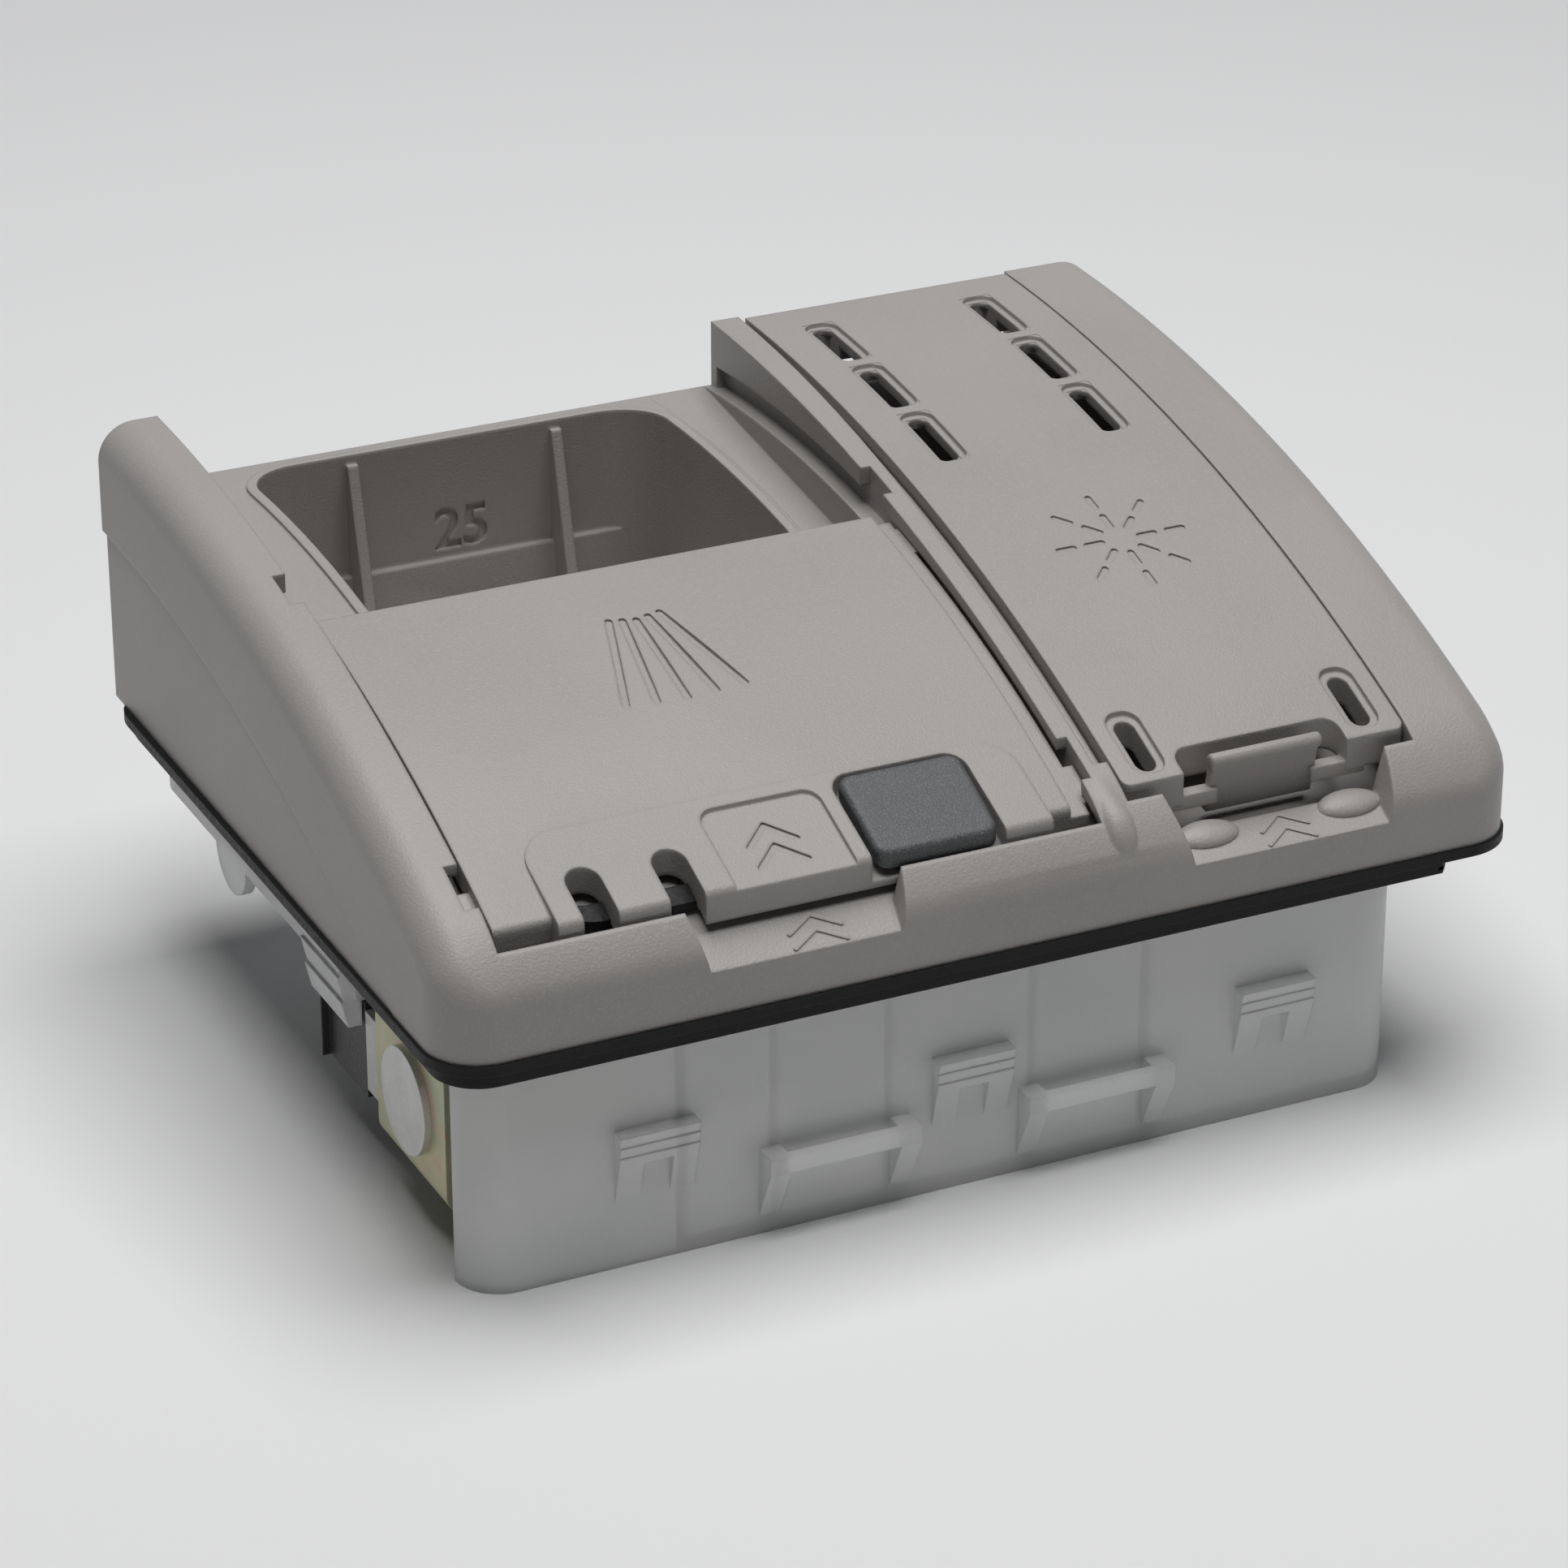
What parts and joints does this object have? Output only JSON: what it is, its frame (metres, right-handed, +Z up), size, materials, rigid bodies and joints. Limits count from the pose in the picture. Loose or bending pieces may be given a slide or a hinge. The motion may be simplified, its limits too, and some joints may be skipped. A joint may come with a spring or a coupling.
{
  "type": "dishwasher detergent dispenser",
  "caption": "Door-mounted dispenser with a curved sliding detergent lid and button, a hinged rinse lid, a ribbed gasket and a translucent rear body with a solenoid.",
  "frame": {"origin": "centre of the underside of the overall box", "axes": "+Z up out of the door's face, +Y away from the near sill, +X from the sliding lid to the rinse lid"},
  "size_m": [0.176, 0.1398, 0.0866],
  "materials": {
    "grey_plastic": "fine matte moulding",
    "dark_plastic": "speckled matte",
    "natural_plastic": "frosted translucent",
    "white_plastic": "satin",
    "black_plastic": "satin",
    "rubber": "matte",
    "passivated_steel": "yellow passivated zinc",
    "steel": "satin",
    "winding": "taped",
    "brass": "tinned",
    "capsule": "clear"
  },
  "bodies": {
    "dispenser": {"front_housing": "grey_plastic", "main_gasket": "rubber", "rear_body": "natural_plastic", "solenoid_frame": "passivated_steel", "frame_plate": "passivated_steel", "solenoid_screws": "steel", "solenoid_core": "steel", "coil_former": "white_plastic", "coil_winding": "winding", "connector_housing": "black_plastic", "terminals": "brass", "plunger_spring": "steel", "lever_pin": "steel", "reed_switch": "capsule"},
    "sliding_lid": {"detergent_lid": "grey_plastic", "lid_seal": "rubber", "button_spring": "steel"},
    "button": {"lid_button": "dark_plastic"},
    "rinse_cover": {"rinse_lid": "grey_plastic", "rinse_lid_seal": "rubber"},
    "armature": {"plunger": "steel"},
    "lever": {"latch_lever": "natural_plastic"},
    "dosing_valve": {"dosing_slide": "natural_plastic", "dosing_seal": "rubber"},
    "float": {"level_float": "white_plastic"}
  },
  "joints": [
    {"name": "lid_track", "type": "hinge", "parent": "dispenser", "child": "sliding_lid", "pos_m": [0, 0.04584, -0.16849], "axis": [-1, 0, 0], "range_deg": [0, 14.99]},
    {"name": "button_press", "type": "slide", "parent": "sliding_lid", "child": "button", "axis": [0, 0.4109, -0.9117], "range_m": [0, 0.0012], "stiffness_N_per_m": 300, "deforming": ["button_spring"]},
    {"name": "rinse_hinge", "type": "hinge", "parent": "dispenser", "child": "rinse_cover", "pos_m": [0.04715, 0.0644, 0.08191], "axis": [-1, 0, 0], "range_deg": [0, 100]},
    {"name": "plunger_pull", "type": "slide", "parent": "dispenser", "child": "armature", "axis": [-1, 0, 0], "range_m": [0, 0.0035], "stiffness_N_per_m": 120, "deforming": ["plunger_spring"]},
    {"name": "lever_turn", "type": "hinge", "parent": "dispenser", "child": "lever", "pos_m": [-0.03, -0.022, 0.025], "axis": [0, 0, 1], "range_deg": [-10.9, 0]},
    {"name": "dosing_push", "type": "slide", "parent": "dispenser", "child": "dosing_valve", "axis": [1, 0, 0], "range_m": [0, 0.00131]},
    {"name": "float_rise", "type": "slide", "parent": "dispenser", "child": "float", "axis": [0, 0, 1], "range_m": [0, 0.014]}
  ],
  "couplings": [
    {"joint": "lever_turn", "follows": "plunger_pull", "rad_per_m": -54.054},
    {"joint": "dosing_push", "follows": "plunger_pull", "ratio": 0.3743}
  ]
}
